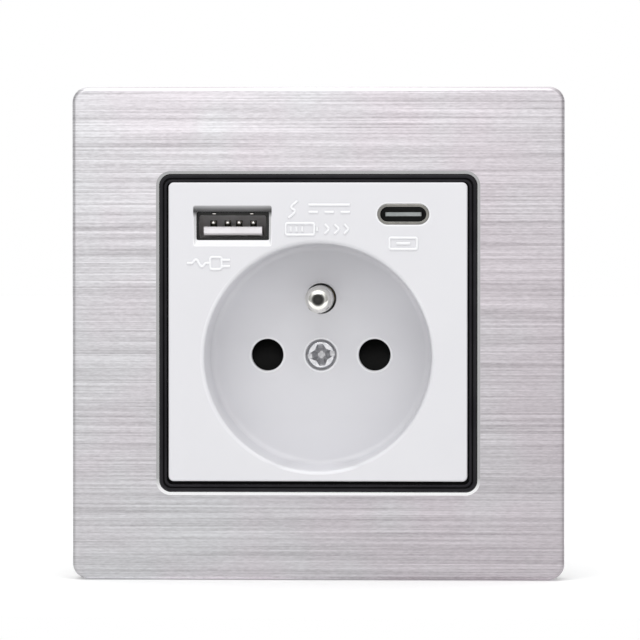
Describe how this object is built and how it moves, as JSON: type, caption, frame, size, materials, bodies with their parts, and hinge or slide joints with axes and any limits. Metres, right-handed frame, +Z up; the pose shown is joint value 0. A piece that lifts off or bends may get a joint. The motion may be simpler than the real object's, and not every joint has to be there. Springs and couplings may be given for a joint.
{
  "type": "usb wall socket",
  "caption": "Flush wall socket with a square brushed-metal frame, a round recessed well with an earth pin, and charging ports above it.",
  "frame": {"origin": "middle of the socket insert on the wall plane, between the wall-box screws", "axes": "+X to the right as seen from the room, +Z up, -Y out of the wall towards the room"},
  "size_m": [0.086, 0.0378, 0.086],
  "materials": {
    "brushed_panel": "fine horizontal brushing, satin",
    "black_lip": "gloss black moulding",
    "white_cover": "satin white moulding",
    "nickel": "nickel plating, bright",
    "zinc_steel": "zinc-plated pressed steel",
    "zinc_screw": "zinc-plated screw",
    "spring_steel": "bright spring steel",
    "brass": "plain brass strip",
    "grey_moulding": "light grey insulating moulding",
    "dark_moulding": "dark grey moulding",
    "black_moulding": "black insulating moulding",
    "port_steel": "plated thin sheet",
    "port_white": "white insulating moulding",
    "port_grey": "light grey insulating moulding",
    "gilt": "gilt contact",
    "board_green": "green circuit board with solder mask",
    "ferrite": "dark ferrite",
    "winding_tape": "yellow winding tape",
    "can_sleeve": "dark capacitor sleeve",
    "lead_sheath": "insulated lead"
  },
  "bodies": {
    "insert": {"metal_faceplate": "brushed_panel", "trim_frame": "black_lip", "centre_plate": "white_cover", "cover_screw": "zinc_screw", "earth_pin": "nickel", "mounting_plate": "zinc_steel", "socket_base": "grey_moulding", "base_screws": "zinc_screw", "contact_cover": "grey_moulding", "cover_plate_screws": "zinc_screw", "shutter_spring": "spring_steel", "live_contact": "brass", "neutral_contact": "brass", "earth_bracket": "brass", "terminal_clamps": "brass", "terminal_screws": "zinc_screw", "claw_screws": "zinc_screw", "charger_board": "board_green", "usb_a_shell": "port_steel", "usb_a_tongue": "port_white", "usb_a_contacts": "gilt", "usb_c_shell": "port_steel", "usb_c_tongue": "port_grey", "usb_c_contacts": "gilt", "transformer_core": "ferrite", "transformer_bobbin": "winding_tape", "input_capacitor": "can_sleeve", "output_capacitor": "can_sleeve", "controller_chip": "black_moulding", "supply_leads": "lead_sheath"},
    "claw_right": {"claw_right": "zinc_steel"},
    "claw_left": {"claw_left": "zinc_steel"},
    "claw_nut_right": {"claw_nut_right": "zinc_steel"},
    "claw_nut_left": {"claw_nut_left": "zinc_steel"},
    "shutter": {"safety_shutter": "dark_moulding"}
  },
  "joints": [
    {"name": "shutter_slide", "type": "slide", "parent": "insert", "child": "shutter", "axis": [0, 0, -1], "range_m": [0, 0.0062], "stiffness_N_per_m": 130, "springref_m": -0.002, "deforming": ["shutter_spring"]},
    {"name": "claw_right_swing", "type": "hinge", "parent": "insert", "child": "claw_right", "pos_m": [0.0249, 0.003, -0.0068], "axis": [0, 0, -1], "range_deg": [0, 18]},
    {"name": "claw_nut_right_draw", "type": "slide", "parent": "insert", "child": "claw_nut_right", "axis": [0, -1, 0], "range_m": [0, 0.0042]},
    {"name": "claw_left_swing", "type": "hinge", "parent": "insert", "child": "claw_left", "pos_m": [-0.0249, 0.003, -0.0068], "axis": [0, 0, 1], "range_deg": [0, 18]},
    {"name": "claw_nut_left_draw", "type": "slide", "parent": "insert", "child": "claw_nut_left", "axis": [0, -1, 0], "range_m": [0, 0.0042]}
  ],
  "couplings": [
    {"joint": "claw_nut_right_draw", "follows": "claw_right_swing", "m_per_rad": 0.013369},
    {"joint": "claw_nut_left_draw", "follows": "claw_left_swing", "m_per_rad": 0.013369}
  ]
}
